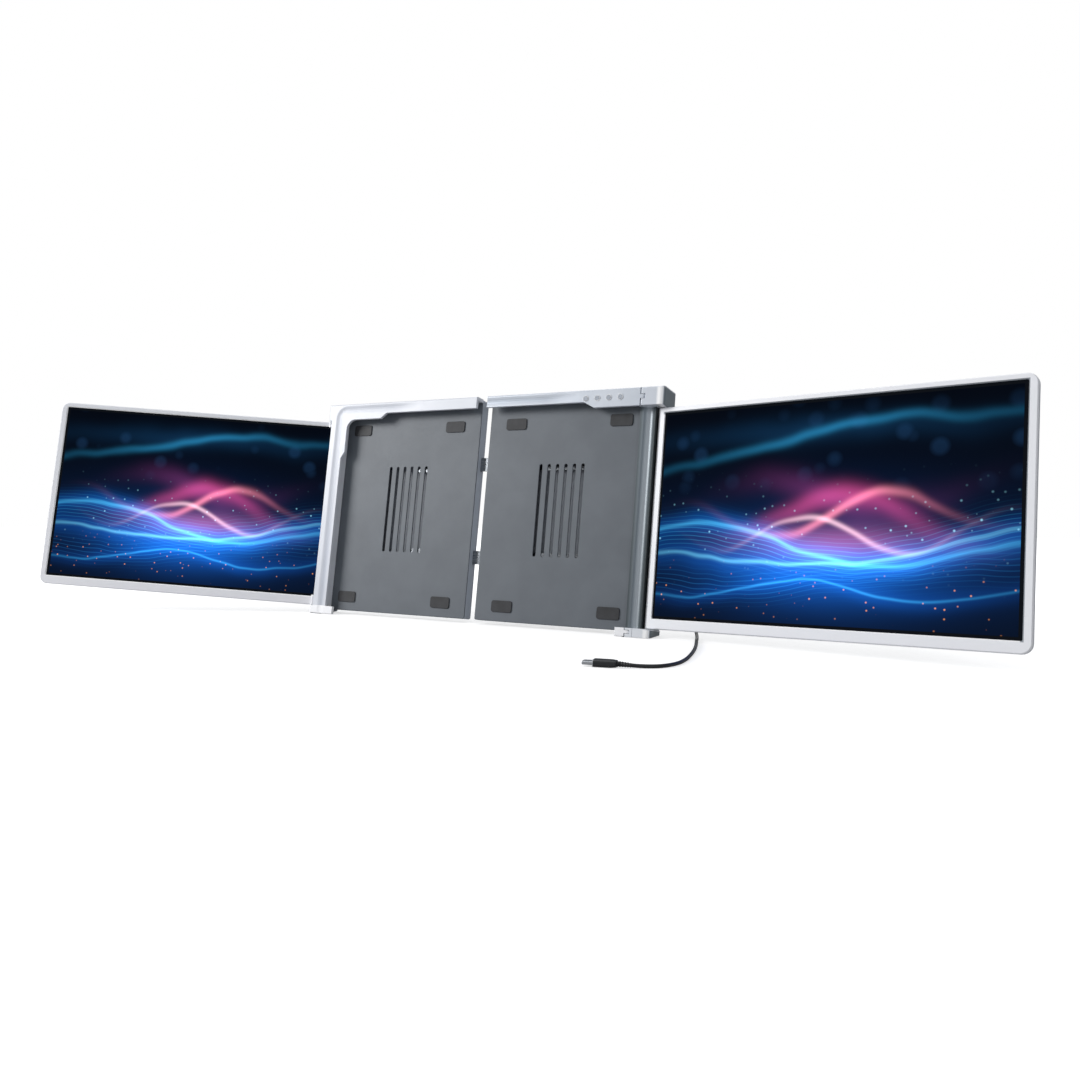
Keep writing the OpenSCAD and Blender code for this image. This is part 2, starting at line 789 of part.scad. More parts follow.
module cover(side, a, pic, yf) {
    b = out_edge(pic);
    yb = yf + display_t;
    difference() {
        hull() {
            dplate(side, a, b, yf + bezel_t, yb - 1.6, display_z0, display_z1, 1, corner_r);
            dplate(side, a + 0.5, b - 1.6, yf + bezel_t, yb, display_z0 + 1.6, display_z1 - 1.6, 1, corner_r - 1.6);
        }
        dplate(side, a + wall, b - wall, yf + 2, yb - 1.2, pic_z - 3, display_z1 - wall, 0.5, corner_r - wall);
        for (r = [0, 1], i = [0:13]) dbox(side, 60 + i * 11, 68 + i * 11, yb - 2, yb + 1, 132 + r * 5, 134 + r * 5);
    }
}

module cover_holes(side, list, yb) {
    for (p = list) screw_hole(side * p[0], yb, p[1], 5.4);
}

l_screws = [[-4.7, 50], [-4.7, 135], [30, cover_screw_z], [135, cover_screw_z], [240, cover_screw_z]];
r_screws = [[7, 50], [7, 135], [30, cover_screw_z], [135, cover_screw_z], [240, cover_screw_z]];

// ears at both ends of the left display's inner edge
module left_ears() {
    for (z = [[display_z0, 15.2], [178.8, display_z1]]) {
        rod_z(0, 0, ear_r, z[0], z[1]);
        box(-ear_r, ear_r, 0, l_front + 0.7, z[0], z[1]);
    }
}

module left_bezel() {
    color("#E6E8EE") difference() {
        union() {
            bezel(-1, l_in, l_pic, l_front);
            left_ears();
        }
        rod_z(0, 0, pin_r + run, 0, 200);
        cover_holes(-1, l_screws, l_front + display_t);
    }
}

module left_display() { color("#101828") glass(-1, l_pic, l_front); }
module left_backlight() { color("#D9DBDD") backlight(-1, l_pic, l_front); }
module left_driver_board() { driver_board(-1, l_front); }

module left_back_cover() {
    color("#A7ADB7") difference() {
        cover(-1, l_in, l_pic, l_front);
        cover_holes(-1, l_screws, l_front + display_t);
    }
}

module left_cover_screws() {
    color("#6E7278") for (p = l_screws) screw(-p[0], l_front + display_t, p[1], 5.2);
}

// room the barrel's flat side takes out of the right display's edge
barrel_front = -2.4;
module barrel_room() {
    box(-6, 2.65, barrel_front - run, 1.75, 0, 200);
}

module right_bezel() {
    color("#E2E4E9") difference() {
        bezel(1, r_bezel_in, r_pic, r_front);
        barrel_room();
        cover_holes(1, r_screws, r_front + display_t);
    }
}

module right_display() { color("#101828") glass(1, r_pic, r_front); }
module right_backlight() { color("#D9DBDD") backlight(1, r_pic, r_front); }
module right_driver_board() { driver_board(1, r_front); }

module right_back_cover() {
    color("#A7ADB7") difference() {
        cover(1, r_in, r_pic, r_front);
        barrel_room();
        cover_holes(1, r_screws, r_front + display_t);
    }
}

module right_cover_screws() {
    color("#6E7278") for (p = r_screws) screw(p[0], r_front + display_t, p[1], p[0] < 10 ? 2.6 : 5.2);
}

module hinge_barrel() {
    color("#D5D8DD") difference() {
        union() {
            translate([0, 0, display_z0]) linear_extrude(display_z1 - display_z0) intersection() {
                circle(r = barrel_r, $fn = 40);
                difference() {
                    translate([-6, -6]) square([6.6, 12]);
                    translate([r_bezel_in - gap, -6]) square([6, 6 + barrel_front]);
                }
            }
            box(0, 2.6, barrel_front, 1.7, display_z0, display_z1);
            // tongues screwed inside the display
            for (z = [50, 135]) plate(2, 11, 0.3, 1.7, z - 9, z + 9, 1);
        }
        rod_z(0, 0, barrel_pin_r + run, display_z0 - 1, 16.5);
        rod_z(0, 0, barrel_pin_r + run, 173.5, display_z1 + 1);
        for (z = [50, 135]) rod_y(7, z, screw_r + run, -1, 3, 16);
    }
}

// ---------- cord ----------

function unit(v) = v / norm(v);
function seg_start(i) = i == 0 ? cord_exit - [9, 0, 0] : route[i - 1];
function seg_after(i) = i + 2 < len(route) ? route[i + 2]
    : route[len(route) - 1] + 12 * [cos(end_turn), sin(end_turn), 0];
function spline(a, b, c, d, t) = 0.5 * ((2 * b) + (c - a) * t + (2 * a - 5 * b + 4 * c - d) * t * t
    + (3 * b - a - 3 * c + d) * t * t * t);
steps = 3;
spine_line = [for (i = [0:len(route) - 2], k = [0:steps - 1])
    spline(seg_start(i), route[i], route[i + 1], seg_after(i), k / steps), route[len(route) - 1]];
rings = len(spine_line);
function heading(i) = i == 0 ? [1, 0, 0] : i == rings - 1 ? [cos(end_turn), sin(end_turn), 0]
    : unit(spine_line[i + 1] - spine_line[i - 1]);
function square_to(v, t) = unit(v - (v * t) * t);
sides = [for (i = 0, v = square_to([0, 0, 1], heading(0)); i < rings;
    i = i + 1, v = square_to(v, heading(min(i, rings - 1)))) v];
cord_sides = 8;

module cord() {
    pts = [for (i = [0:rings - 1], k = [0:cord_sides - 1])
        let (a = 360 * k / cord_sides, u = sides[i], w = cross(heading(i), u))
        spine_line[i] + cord_r * (cos(a) * u + sin(a) * w)];
    color("#17181B") translate([-origin_x, -origin_y, 0])
        polyhedron(points = pts, faces = swept(rings, cord_sides), convexity = 6);
}

// plug along +X from its tail at 0: moulded grip, then the metal shell
module plug(grip) {
    difference() {
        union() {
            hull() {
                port_shape(8, 4.2, 3);
                translate([3.5, 0, 0]) port_shape(10.4, 4.8, grip - 4);
            }
            translate([grip - 1, 0, 0]) port_shape(8.25, 2.4, 7.5);
        }
        translate([grip + 1, 0, 0]) port_shape(7.2, 1.5, 7);
    }
}

module cord_plug() {
    color("#17181B") translate([hub[1] + 0.4, port_y, port_z]) rotate([0, 0, 0])
        translate([plug_x - hub[1] - 0.4, 0, 0]) rotate([0, 0, 180]) plug(plug_x - hub[1] - 0.4);
}

module cord_end_plug() {
    color("#17181B") translate([tail[0] - origin_x, tail[1] - origin_y, tail_z])
        rotate([0, 0, end_turn]) rotate([90, 0, 0]) plug(15.5);
}

// ---------- nodes ----------

lean_back() right_front();
lean_back() right_housing();
lean_back() right_inner_panel();
lean_back() right_lid_pads();
lean_back() right_foot_pad();
lean_back() rail_guides();
lean_back() control_board();
lean_back() button_rings();
lean_back() right_housing_screws();
lean_back() hub_case();
lean_back() hub_board();
lean_back() usb_port();
lean_back() stand_bracket();
lean_back() stand_pin();
lean_back() left_front();
lean_back() left_housing();
lean_back() left_inner_panel();
lean_back() left_lid_pads();
lean_back() left_foot_pad();
lean_back() steel_rails();
lean_back() rail_screws();
lean_back() left_housing_screws();
lean_back() left_hinge_pins();
at_left() left_bezel();
at_left() left_display();
at_left() left_backlight();
at_left() left_driver_board();
at_left() left_back_cover();
at_left() left_cover_screws();
lean_back() spine_cap();
lean_back() spine_column();
lean_back() spine_foot();
lean_back() spine_guard();
lean_back() spine_screws();
lean_back() spine_pins();
lean_back() barrel_pins();
at_right() hinge_barrel();
at_right() right_bezel();
at_right() right_display();
at_right() right_backlight();
at_right() right_driver_board();
at_right() right_back_cover();
at_right() right_cover_screws();
at_stand() stand_leg();
at_stand() stand_foot();
lean_back() button_1();
lean_back() button_2();
lean_back() button_3();
lean_back() button_4();
lean_back() cord_plug();
cord();
cord_end_plug();
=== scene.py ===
import math

import bpy
from mathutils import Matrix, Vector


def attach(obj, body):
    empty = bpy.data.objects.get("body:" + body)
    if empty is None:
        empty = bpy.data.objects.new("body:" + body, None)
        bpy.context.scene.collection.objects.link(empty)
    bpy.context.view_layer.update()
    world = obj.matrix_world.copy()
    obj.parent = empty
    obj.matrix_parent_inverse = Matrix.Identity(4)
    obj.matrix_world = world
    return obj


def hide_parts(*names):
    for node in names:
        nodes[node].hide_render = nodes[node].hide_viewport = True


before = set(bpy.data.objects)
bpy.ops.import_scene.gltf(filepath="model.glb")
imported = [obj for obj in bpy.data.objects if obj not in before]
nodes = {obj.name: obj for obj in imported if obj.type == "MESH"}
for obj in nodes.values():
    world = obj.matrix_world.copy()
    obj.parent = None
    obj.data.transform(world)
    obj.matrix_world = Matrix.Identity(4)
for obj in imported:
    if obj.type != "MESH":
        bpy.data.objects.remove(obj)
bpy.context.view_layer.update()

# ---------------------------------------------------------------- measures, the same as in part.scad (mm)
LEAN = math.radians(8.67)
LEFT_TURN = math.radians(27.1)
RIGHT_TURN = math.radians(9.2)
ORIGIN_X, ORIGIN_Y, LIFT = 13.332062, -18.345681, 1.821488
LEFT_AXIS = (-170.3, -1.2)
RIGHT_AXIS = (170.0, 10.0)
LEFT_PIC, LEFT_FRONT = -1.2, 2.2
RIGHT_PIC, RIGHT_FRONT = 3.9, -4.5
PIC_W, PIC_H, PIC_Z = 261.1, 163.2, 15.4
CORD_R = 1.3
VALLEY_X, VALLEY_Z, VALLEY_TURN = -158.8, 194.5, 8.0  # the pressed valley's corner and its radius
# width of the painted shade along the pressed valley, in mm
VALLEY_SHADE_SPREAD = 2.6
FRONT_DEPTH = -2.0      # Y behind which nothing of the front bars is their front face
CLIP_TOP = 8.0          # height that only the lowest arms are under
COLUMN_X = (151.4, 164.9)
COLUMN_TOP = 185.0
WINDOW_SLOPE = 2.3
PLUG_SHELL = 14.52      # from the plug's cord end to its plated shell

TILT = Matrix.Rotation(-LEAN, 4, "X")


def frame_mm(x, y, z):
    """A point of the upright frame space, in mm, as a row point in metres."""
    p = TILT @ Vector((x, y, z))
    return Vector((p.x - ORIGIN_X, p.y - ORIGIN_Y, p.z + LIFT)) / 1000


def row_mm(x, y, z):
    """A point of the unshifted row, in mm, in metres."""
    return Vector((x - ORIGIN_X, y - ORIGIN_Y, z)) / 1000


# ---------------------------------------------------------------- camera, fitted to the photograph
def make_camera():
    eye = row_mm(439.82, -676.97, 98.26)
    az, el, roll, focal = math.radians(28.2547), math.radians(1.7381), math.radians(0.4982), 928.33
    fwd = Vector((-math.sin(az) * math.cos(el), math.cos(az) * math.cos(el), -math.sin(el)))
    right = fwd.cross(Vector((0, 0, 1))).normalized()
    up = right.cross(fwd)
    r2 = right * math.cos(roll) + up * math.sin(roll)
    u2 = -right * math.sin(roll) + up * math.cos(roll)
    data = bpy.data.cameras.new("camera")
    data.sensor_width = 36
    data.lens = focal / 1080 * 36
    data.clip_start, data.clip_end = 0.02, 60
    cam = bpy.data.objects.new("camera", data)
    bpy.context.scene.collection.objects.link(cam)
    m = Matrix((r2, u2, -fwd)).transposed().to_4x4()
    m.translation = eye
    cam.matrix_world = m
    bpy.context.scene.camera = cam
    return cam


make_camera()

# ---------------------------------------------------------------- cord: route points of part.scad
EXIT_Y, EXIT_Z = 24.2, 34  # in the upright frame space
EXIT = (153.0, EXIT_Y * math.cos(LEAN) + EXIT_Z * math.sin(LEAN),
        EXIT_Z * math.cos(LEAN) - EXIT_Y * math.sin(LEAN) + LIFT)
TAIL = (206, -137.6, 2.4)
END_TURN = math.radians(191)
ROUTE = [EXIT, (EXIT[0] + 10, EXIT[1], EXIT[2]), (172, 30, 30.5), (181, 32.5, 27), (189, 35, 20.5),
         (195, 35.5, 13.5), (199.5, 32.5, 7.5), (203.5, 25, 3.2), (208, 13, 1.5), (213, -3, 1.35),
         (220, -25, CORD_R), (226.5, -48, CORD_R), (232, -72, CORD_R), (235.5, -92, CORD_R),
         (236, -110, CORD_R), (231, -125, 1.35), (220, -133.5, 1.6), TAIL]


def smooth_route(points, before, after, steps):
    """Catmull-Rom line through the points, as part.scad sweeps it."""
    p = [Vector(before)] + [Vector(q) for q in points] + [Vector(after)]
    line = []
    for i in range(1, len(p) - 2):
        a, b, c, d = p[i - 1:i + 3]
        for k in range(steps):
            t = k / steps
            line.append(0.5 * (2 * b + (c - a) * t + (2 * a - 5 * b + 4 * c - d) * t * t
                               + (3 * b - a - 3 * c + d) * t ** 3))
    line.append(p[-2])
    return line


def make_cord():
    after = (TAIL[0] + 12 * math.cos(END_TURN), TAIL[1] + 12 * math.sin(END_TURN), TAIL[2])
    line = smooth_route(ROUTE, (EXIT[0] - 9, EXIT[1], EXIT[2]), after, 8)
    line = [row_mm(q.x, q.y, max(q.z, CORD_R)) for q in line]
    curve = bpy.data.curves.new("cord_line", "CURVE")
    curve.dimensions = "3D"
    spline = curve.splines.new("POLY")
    spline.points.add(len(line) - 1)
    for point, q in zip(spline.points, line):
        point.co = (*q, 1)
        point.radius = CORD_R / 1000
    curve.bevel_depth = 1.0
    curve.bevel_resolution = 4
    curve.use_fill_caps = True
    cord = bpy.data.objects.new("usb_cord", curve)
    bpy.context.scene.collection.objects.link(cord)
    length = sum((b - a).length for a, b in zip(line, line[1:]))
    return cord, length, line


cord, cord_length, cord_line = make_cord()
print("cord length", round(cord_length, 4))
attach(cord, "right_frame")
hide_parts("cord")


# ---------------------------------------------------------------- material helpers
class Nodes:
    """Short calls for building one material's node tree."""

    def __init__(self, name):
        self.mat = bpy.data.materials.new(name)
        self.mat.use_nodes = True
        self.tree = self.mat.node_tree
        self.tree.nodes.clear()
        self.out = self.tree.nodes.new("ShaderNodeOutputMaterial")

    def node(self, kind, **props):
        n = self.tree.nodes.new(kind)
        for key, value in props.items():
            setattr(n, key, value)
        return n

    def put(self, socket, value):
        if hasattr(value, "is_output"):
            self.tree.links.new(value, socket)
        else:
            socket.default_value = value

    def math(self, op, a, b=0.0, c=0.0, clamp=False):
        n = self.node("ShaderNodeMath", operation=op, use_clamp=clamp)
        self.put(n.inputs[0], a)
        self.put(n.inputs[1], b)
        if op in ("MULTIPLY_ADD", "SMOOTH_MIN", "SMOOTH_MAX", "WRAP", "COMPARE"):
            self.put(n.inputs[2], c)
        return n.outputs[0]

    def mix(self, factor, a, b, mode="MIX"):
        n = self.node("ShaderNodeMix", data_type="RGBA", blend_type=mode)
        self.put(n.inputs[0], factor)
        self.put(n.inputs[6], a if hasattr(a, "is_output") else (*a, 1))
        self.put(n.inputs[7], b if hasattr(b, "is_output") else (*b, 1))
        return n.outputs[2]

    def ramp(self, value, stops):
        n = self.node("ShaderNodeValToRGB")
        elements = n.color_ramp.elements
        while len(elements) < len(stops):
            elements.new(0.5)
        for e, (pos, colour) in zip(elements, stops):
            e.position = pos
            e.color = (*colour, 1) if hasattr(colour, "__len__") else (colour, colour, colour, 1)
        self.put(n.inputs[0], value)
        return n.outputs[0]

    def where(self, scale=(1, 1, 1)):
        """Object coordinates in mm along the row's axes, times scale."""
        coords = self.node("ShaderNodeTexCoord")
        m = self.node("ShaderNodeMapping")
        m.inputs["Scale"].default_value = [1000 * s for s in scale]
        self.put(m.inputs["Vector"], coords.outputs["Object"])
        return m.outputs[0]

    def noise(self, vector, scale, detail=3.0, rough=0.5):
        n = self.node("ShaderNodeTexNoise")
        self.put(n.inputs["Vector"], vector)
        n.inputs["Scale"].default_value = scale
        n.inputs["Detail"].default_value = detail
        n.inputs["Roughness"].default_value = rough
        return n.outputs["Fac"]

    def bump(self, height, strength, distance, normal=None):
        n = self.node("ShaderNodeBump")
        n.inputs["Strength"].default_value = strength
        n.inputs["Distance"].default_value = distance / 1000
        self.put(n.inputs["Height"], height)
        if normal is not None:
            self.put(n.inputs["Normal"], normal)
        return n.outputs[0]

    def edge(self, radius):
        """Normals that turn softly over an edge, radius in mm."""
        n = self.node("ShaderNodeBevel", samples=6)
        n.inputs["Radius"].default_value = radius / 1000
        return n.outputs[0]

    def principled(self, colour, rough, metallic=0.0, normal=None):
        n = self.node("ShaderNodeBsdfPrincipled")
        self.put(n.inputs["Base Color"], colour if hasattr(colour, "is_output") else (*colour, 1))
        self.put(n.inputs["Roughness"], rough)
        n.inputs["Metallic"].default_value = metallic
        if normal is not None:
            self.put(n.inputs["Normal"], normal)
        self.put(self.out.inputs["Surface"], n.outputs[0])
        return n


def plane(n, base, spin):
    """X, Y, Z in mm along spin's axes, from base, which is a row point in metres."""
    coords = n.node("ShaderNodeTexCoord")
    m = n.node("ShaderNodeMapping", vector_type="TEXTURE")
    m.inputs["Location"].default_value = base
    m.inputs["Rotation"].default_value = spin.to_euler("XYZ")
    m.inputs["Scale"].default_value = (0.001, 0.001, 0.001)
    n.put(m.inputs["Vector"], coords.outputs["Object"])
    split = n.node("ShaderNodeSeparateXYZ")
    n.put(split.inputs[0], m.outputs[0])
    return split.outputs


def frame_plane(n):
    """X, Y, Z in mm in the upright frame space of part.scad."""
    return plane(n, frame_mm(0, 0, 0), TILT)


def display_plane(n, axis, turn, pic_left, front):
    """X, Y, Z in mm from the lit picture's lower left corner, in the display's own plane."""
    spin = TILT @ Matrix.Rotation(turn, 4, "Z")
    base = frame_mm(axis[0], axis[1], 0) + (spin @ Vector((pic_left, front, PIC_Z))) / 1000
    return plane(n, base, spin)


def srgb(code):
    """#RRGGBB to linear colour."""
    def lin(v):
        v /= 255
        return v / 12.92 if v <= 0.04045 else ((v + 0.055) / 1.055) ** 2.4
    return tuple(lin(int(code[i:i + 2], 16)) for i in (1, 3, 5))


def valley_shade_share(n, corner_x, fade_from, fade_to):
    """Share of painted shade along the valley pressed into a front bar: 1 in its middle, 0 beside it and
    where it fades out.
    """
    spot = frame_plane(n)
    left = n.math("MINIMUM", n.math("SUBTRACT", spot["X"], corner_x + VALLEY_TURN), 0.0)
    over = n.math("MAXIMUM", n.math("SUBTRACT", spot["Z"], VALLEY_Z - VALLEY_TURN), 0.0)
    reach = n.math("SQRT", n.math("ADD", n.math("MULTIPLY", left, left), n.math("MULTIPLY", over, over)))
    off = n.math("DIVIDE", n.math("SUBTRACT", reach, VALLEY_TURN), VALLEY_SHADE_SPREAD)
    dip = n.math("POWER", math.e, n.math("MULTIPLY", n.math("MULTIPLY", off, off), -1.0))
    fade = n.math("DIVIDE", n.math("SUBTRACT", spot["X"], fade_to), fade_from - fade_to, 0.0, True)
    front = n.math("LESS_THAN", spot["Y"], FRONT_DEPTH)
    return n.math("MULTIPLY", n.math("MULTIPLY", dip, fade), front)


def painted(name, light, dark, rough=0.38, grain=0.05, edge=0.5, metallic=0.0, clip=None, valley=None):
    """Moulded or painted surface: fine orange peel, faint colour drift and slightly uneven gloss. Clip
    colours the lowest arm. Valley is the painted shade in the pressed valley: its colour, its corner's X,
    and the X where it starts to fade and where it ends."""
    n = Nodes(name)
    at = n.where()
    drift = n.noise(at, 0.035, 2.0)
    peel = n.noise(at, 2.2, 4.0, 0.6)
    dust = n.noise(at, 0.4, 5.0, 0.65)
    colour = n.mix(n.ramp(drift, [(0.35, 0.0), (0.65, 1.0)]), dark, light)
    colour = n.mix(n.math("MULTIPLY", dust, 0.10), colour, tuple(0.8 * c for c in dark))
    # painted shade along the pressed valley
    if valley:
        colour = n.mix(valley_shade_share(n, *valley[1:]), colour, valley[0])
    if clip:
        split = n.node("ShaderNodeSeparateXYZ")
        n.put(split.inputs[0], at)
        colour = n.mix(n.math("LESS_THAN", split.outputs["Z"], CLIP_TOP), colour, clip)
    gloss = n.math("MULTIPLY_ADD", dust, 0.16, rough - 0.08)
    n.principled(colour, gloss, metallic, n.bump(peel, grain, 0.08, n.edge(edge)))
    return n.mat


def brushed(name, light, dark, along, rough=0.34, metallic=0.85, edge=0.3):
    """Metal with fine lines along one row axis (0 X, 1 Y, 2 Z)."""
    n = Nodes(name)
    scale = [1.0, 1.0, 1.0]
    scale[along] = 0.02
    lines = n.noise(n.where(scale), 3.0, 5.0, 0.7)
    drift = n.noise(n.where(), 0.05, 2.0)
    colour = n.mix(n.ramp(lines, [(0.3, 0.0), (0.7, 1.0)]), dark, light)
    colour = n.mix(n.math("MULTIPLY", drift, 0.2), colour, dark)
    n.principled(colour, n.math("MULTIPLY_ADD", lines, 0.2, rough - 0.1), metallic,
                 n.bump(lines, 0.12, 0.05, n.edge(edge)))
    return n.mat


def bezel_paint(name, axis, turn, pic_left, front, high, low, lit_edge, shade_edge):
    """Satin bezel paint. A painted reflection turns it from low at the bottom to high at the top. The slope
    round the window has the painted highlight lit_edge left and below, the painted shade shade_edge above
    and right."""
    n = Nodes(name)
    at = n.where()
    spot = display_plane(n, axis, turn, pic_left, front)
    over = n.math("SUBTRACT", spot["X"], PIC_W)
    above = n.math("SUBTRACT", spot["Z"], PIC_H)
    out = n.math("MAXIMUM", n.math("MAXIMUM", n.math("MULTIPLY", spot["X"], -1.0), over),
                 n.math("MAXIMUM", n.math("MULTIPLY", spot["Z"], -1.0), above))
    # the slope round the window carries painted highlight and painted shade
    slope = n.ramp(n.math("DIVIDE", out, WINDOW_SLOPE), [(0.86, 1.0), (1.0, 0.0)])
    upper = n.math("MULTIPLY_ADD", n.math("MAXIMUM", over, above), 3.0, 0.2, True)
    # painted reflection, from low at the bottom to high at the top
    rise = n.ramp(n.math("DIVIDE", spot["Z"], PIC_H), [(0.05, 0.0), (0.95, 1.0)])
    peel = n.noise(at, 2.2, 4.0, 0.6)
    dust = n.noise(at, 0.4, 5.0, 0.65)
    colour = n.mix(rise, low, high)
    colour = n.mix(n.math("MULTIPLY", dust, 0.05), colour, tuple(0.8 * c for c in high))
    colour = n.mix(slope, colour, n.mix(upper, lit_edge, shade_edge))
    gloss = n.math("MULTIPLY_ADD", dust, 0.14, 0.28)
    n.principled(colour, gloss, 0.0, n.bump(peel, 0.05, 0.08, n.edge(0.35)))
    return n.mat


def column_painted_shading():
    """Grey anodised extrusion with a painted highlight in the middle and painted shade to both sides, more
    of it low down, with fine lines along its length.
    """
    n = Nodes("column_anodised_painted_shade")
    lines = n.noise(n.where((1.0, 1.0, 0.02)), 3.0, 5.0, 0.7)
    split = n.node("ShaderNodeSeparateXYZ")
    n.put(split.inputs[0], n.where())
    left, right = COLUMN_X
    across = n.math("DIVIDE", n.math("SUBTRACT", split.outputs["X"], left - ORIGIN_X), right - left)
    # painted shading across the column: painted highlight in the middle, painted shade at both sides
    shade = n.ramp(across, [(0.0, srgb("#4A5356")), (0.30, srgb("#808A92")), (0.50, srgb("#BAC2C9")),
                            (0.82, srgb("#525B5F")), (1.0, srgb("#2C3435"))])
    # more painted shade at the sides low down
    sides = n.math("POWER", n.math("ABSOLUTE", n.math("MULTIPLY_ADD", across, 2.2, -1.0)), 1.5)
    low = n.ramp(n.math("DIVIDE", split.outputs["Z"], COLUMN_TOP), [(0.0, 0.65), (0.9, 0.0)])
    shade = n.mix(n.math("MULTIPLY", sides, low, 0.0, True), shade, srgb("#20282A"))
    colour = n.mix(n.math("MULTIPLY", lines, 0.25), shade, srgb("#5F676D"))
    gloss = n.math("MULTIPLY_ADD", lines, 0.2, 0.30)
    n.principled(colour, gloss, 0.3, n.bump(lines, 0.08, 0.05, n.edge(0.3)))
    return n.mat


CAP_LIGHT_STRIP = 8.0  # width of the strip beside the right face where the painted highlight and painted shade lie


def cap_painted_light(name, light, dark, side_x, top):
    """Satin silver with a painted highlight round the front right edge and painted shade on the right side,
    which lies at side_x. Above top the colour stays plain."""
    n = Nodes(name)
    at = n.where()
    fine = n.noise(at, 2.2, 4.0, 0.6)
    wide = n.noise(at, 0.035, 2.0)
    base = n.mix(n.ramp(wide, [(0.35, 0.0), (0.65, 1.0)]), dark, light)
    spot = frame_plane(n)
    across = n.math("DIVIDE", n.math("SUBTRACT", spot["X"], side_x - CAP_LIGHT_STRIP), CAP_LIGHT_STRIP)
    below = n.math("LESS_THAN", spot["Z"], top)
    # painted highlight round the front right edge, then painted shade on the right side
    turn = n.ramp(across, [(0.14, 0.0), (0.36, 1.0), (0.80, 1.0), (0.90, 0.0)])
    side = n.ramp(across, [(0.84, 0.0), (0.95, 1.0)])
    colour = n.mix(n.math("MULTIPLY", turn, below), base, srgb("#FFFFFF"))
    colour = n.mix(n.math("MULTIPLY", side, below), colour, srgb("#737C81"))
    gloss = n.math("MULTIPLY_ADD", fine, 0.12, 0.26)
    n.principled(colour, gloss, 0.15, n.bump(fine, 0.01, 0.08, n.edge(0.5)))
    return n.mat


def button_finish():
    """Grey moulded push button."""
    n = Nodes("cap_plastic")
    fine = n.noise(n.where(), 2.2, 4.0, 0.6)
    colour = n.mix(fine, srgb("#A3AAB4"), srgb("#B2B8C1"))
    n.principled(colour, n.math("MULTIPLY_ADD", fine, 0.15, 0.28), 0.0, n.bump(fine, 0.05, 0.05))
    return n.mat


def rubbery(name, light, dark, rough=0.6, edge=0.3):
    """Matt rubber or dull plastic with a fine grain."""
    n = Nodes(name)
    at = n.where()
    fine = n.noise(at, 4.0, 4.0, 0.7)
    wide = n.noise(at, 0.12, 2.0)
    colour = n.mix(n.ramp(wide, [(0.3, 0.0), (0.7, 1.0)]), dark, light)
    gloss = n.math("MULTIPLY_ADD", fine, 0.2, rough - 0.1)
    n.principled(colour, gloss, 0.0, n.bump(fine, 0.25, 0.06, n.edge(edge)))
    return n.mat


def circuit(name):
    """Green board with faint copper tracks under the mask."""
    n = Nodes(name)
    at = n.where()
    tracks = n.node("ShaderNodeTexBrick")
    tracks.inputs["Scale"].default_value = 0.35
    tracks.inputs["Mortar Size"].default_value = 0.03
    n.put(tracks.inputs["Vector"], at)
    tracks.inputs["Color1"].default_value = (*srgb("#0E4A2A"), 1)
    tracks.inputs["Color2"].default_value = (*srgb("#0B3F26"), 1)
    tracks.inputs["Mortar"].default_value = (*srgb("#2B7A4A"), 1)
    fine = n.noise(at, 3.0, 3.0)
    colour = n.mix(n.math("MULTIPLY", fine, 0.25), tracks.outputs["Color"], srgb("#06301C"))
    n.principled(colour, 0.32, 0.0, n.bump(tracks.outputs["Fac"], 0.2, 0.03))
    return n.mat


# The picture's lights. Level, swing, tilt and width are shares of the picture's height, rate is the waves'
# turn over its width in radians, phase is the turn at its left edge and gain scales the light.
RIBBONS = (  # level, swing, rate, phase, tilt, width, colour, gain
    (0.40, 0.060, 7.0, 0.4, -0.10, 0.012, "#58D4FF", 0.9),
    (0.40, 0.060, 7.0, 0.4, -0.10, 0.055, "#0E6FD8", 0.9),
    (0.27, 0.050, 5.2, 2.1, 0.10, 0.009, "#7FE6FF", 0.9),
    (0.27, 0.050, 5.2, 2.1, 0.10, 0.060, "#0B62C8", 0.8),
    (0.15, 0.035, 9.0, 4.0, 0.02, 0.006, "#3FB4F5", 0.7),
    (0.15, 0.035, 9.0, 4.0, 0.02, 0.040, "#0A4AA0", 0.7),
    (0.74, 0.050, 4.1, 5.4, 0.16, 0.022, "#2A8FC0", 0.5),
    (0.80, 0.050, 3.3, 1.2, 0.12, 0.060, "#103A5E", 0.5))
STRINGS = (  # level, swing, rate, phase, tilt, spread, pitch, colour, gain
    (0.34, 0.060, 6.2, 1.2, 0.02, 0.075, 330.0, "#49C6FF", 0.55),
    (0.20, 0.040, 5.0, 3.4, 0.04, 0.060, 300.0, "#2F9BEA", 0.4))
ROSES = (  # as the ribbons
    (0.50, 0.110, 8.4, 3.1, -0.05, 0.045, "#C2457F", 0.8),
    (0.46, 0.090, 10.2, 1.0, 0.05, 0.020, "#FF8FA6", 0.85),
    (0.40, 0.080, 12.0, 2.2, 0.02, 0.012, "#FFD0DC", 0.8),
    (0.58, 0.080, 9.0, 4.8, 0.0, 0.060, "#6A2A5E", 0.7))
SPARKS = (  # scale, smallness, height, spread, colour, gain: warm ones low down, cool ones above them
    (0.17, 7.0, 0.12, 0.10, "#FFA24A", 1.3),
    (0.13, 7.0, 0.42, 0.12, "#9FE9FF", 1.0))


